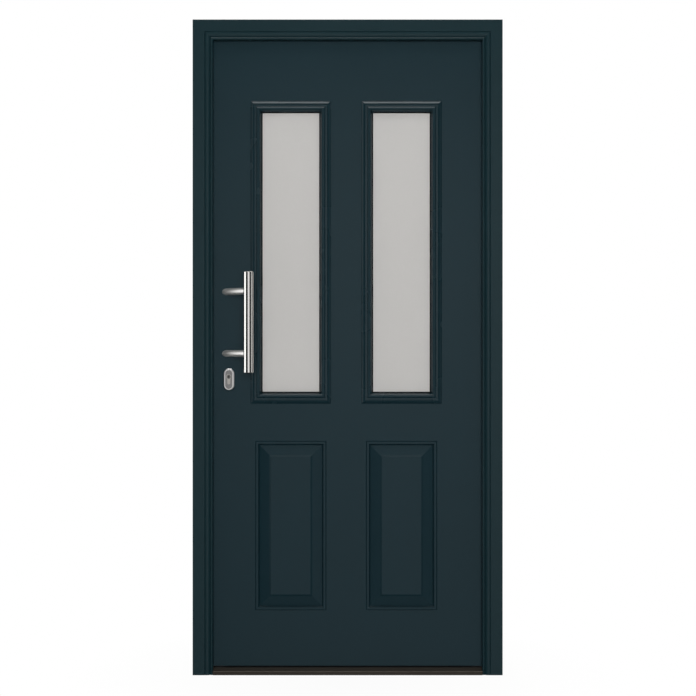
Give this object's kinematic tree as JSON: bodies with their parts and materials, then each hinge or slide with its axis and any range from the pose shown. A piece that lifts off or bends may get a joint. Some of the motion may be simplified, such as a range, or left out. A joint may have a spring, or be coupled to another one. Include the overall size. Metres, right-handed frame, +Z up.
{
  "type": "panelled front door with frame",
  "caption": "Panelled steel front door hung in its aluminium frame, with two tall frosted lights, pressed lower panels, an outside pull bar, an inside lever and a multi-point lock.",
  "frame": {"origin": "floor level under the threshold, mid-width and mid-depth of the frame", "axes": "+Z up, -Y to the outside of the house, +X to the hinge side seen from outside"},
  "size_m": [1, 0.214, 2.115],
  "materials": {
    "frame_paint": "dark blue-grey powder coat, satin, on aluminium",
    "leaf_paint": "dark blue-grey powder coat, satin, on pressed steel",
    "moulding_paint": "dark blue-grey paint, satin",
    "frosted_glass": "sandblasted, pale and even",
    "clear_glass": "clear float glass",
    "stainless": "satin stainless steel",
    "plain_steel": "zinc-plated",
    "nickel_brass": "nickel-plated brass",
    "bare_aluminium": "dark anodised",
    "insulating_plastic": "black glass-filled polyamide",
    "black_rubber": "matt black",
    "edge_timber": "laminated timber, painted dark at the edges",
    "core_foam": "rigid polyurethane foam"
  },
  "bodies": {
    "frame": {"left_jamb_outer": "frame_paint", "right_jamb_outer": "frame_paint", "head_outer": "frame_paint", "left_jamb_inner": "frame_paint", "right_jamb_inner": "frame_paint", "head_inner": "frame_paint", "thermal_breaks": "insulating_plastic", "corner_cleats": "bare_aluminium", "frame_seal": "black_rubber", "threshold_front": "bare_aluminium", "threshold_core": "insulating_plastic", "threshold_back": "bare_aluminium", "main_strike": "stainless", "side_strikes": "stainless", "hinge_frame_parts": "stainless", "hinge_pins": "stainless"},
    "leaf": {"outer_skin": "leaf_paint", "inner_skin": "leaf_paint", "left_outer_moulding": "moulding_paint", "right_outer_moulding": "moulding_paint", "left_inner_moulding": "moulding_paint", "right_inner_moulding": "moulding_paint", "left_outer_pane": "frosted_glass", "right_outer_pane": "frosted_glass", "left_inner_pane": "clear_glass", "right_inner_pane": "clear_glass", "middle_panes": "clear_glass", "pull_bar": "stainless", "pull_posts": "stainless", "outside_escutcheon": "stainless", "inside_plate": "stainless", "faceplate": "stainless", "hinge_leaf_parts": "stainless", "lock_case": "plain_steel", "bolt_cases": "plain_steel", "pull_studs": "plain_steel", "cylinder_body": "nickel_brass", "pane_spacers": "insulating_plastic", "leaf_seal": "black_rubber", "bottom_seal": "black_rubber", "glazing_tapes": "black_rubber", "lock_stile": "edge_timber", "hinge_stile": "edge_timber", "top_rail": "edge_timber", "bottom_rail": "edge_timber", "foam_core": "core_foam"},
    "lever": {"lever_handle": "stainless", "spindle": "plain_steel", "follower": "plain_steel"},
    "latch": {"latch_bolt": "plain_steel"},
    "key_plugs": {"outer_plug": "nickel_brass", "inner_plug": "nickel_brass", "cylinder_cam": "nickel_brass"},
    "bolts": {"main_deadbolt": "plain_steel", "side_bolts": "plain_steel"},
    "rods": {"drive_rods": "plain_steel"}
  },
  "joints": [
    {"name": "leaf_swing", "type": "hinge", "parent": "frame", "child": "leaf", "pos_m": [0.482, 0.067, 1.05], "axis": [0, 0, -1], "range_deg": [0, 100]},
    {"name": "lever_turn", "type": "hinge", "parent": "leaf", "child": "lever", "pos_m": [-0.385, 0.025, 1.054], "axis": [0, 1, 0], "range_deg": [0, 30], "stiffness_Nm_per_rad": 1.5, "springref_deg": -17.19},
    {"name": "latch_slide", "type": "slide", "parent": "leaf", "child": "latch", "axis": [1, 0, 0], "range_m": [0, 0.0121]},
    {"name": "bolt_throw", "type": "slide", "parent": "leaf", "child": "bolts", "axis": [-1, 0, 0], "range_m": [0, 0.02]},
    {"name": "key_turn", "type": "hinge", "parent": "leaf", "child": "key_plugs", "pos_m": [-0.385, 0.025, 0.962], "axis": [0, 1, 0], "range_deg": [0, 361]},
    {"name": "rod_slide", "type": "slide", "parent": "leaf", "child": "rods", "axis": [0, 0, 1], "range_m": [0, 0.0181]}
  ],
  "couplings": [
    {"joint": "latch_slide", "follows": "lever_turn", "m_per_rad": 0.022918},
    {"joint": "key_turn", "follows": "bolt_throw", "rad_per_m": 314.16},
    {"joint": "rod_slide", "follows": "bolt_throw", "ratio": 0.9}
  ]
}
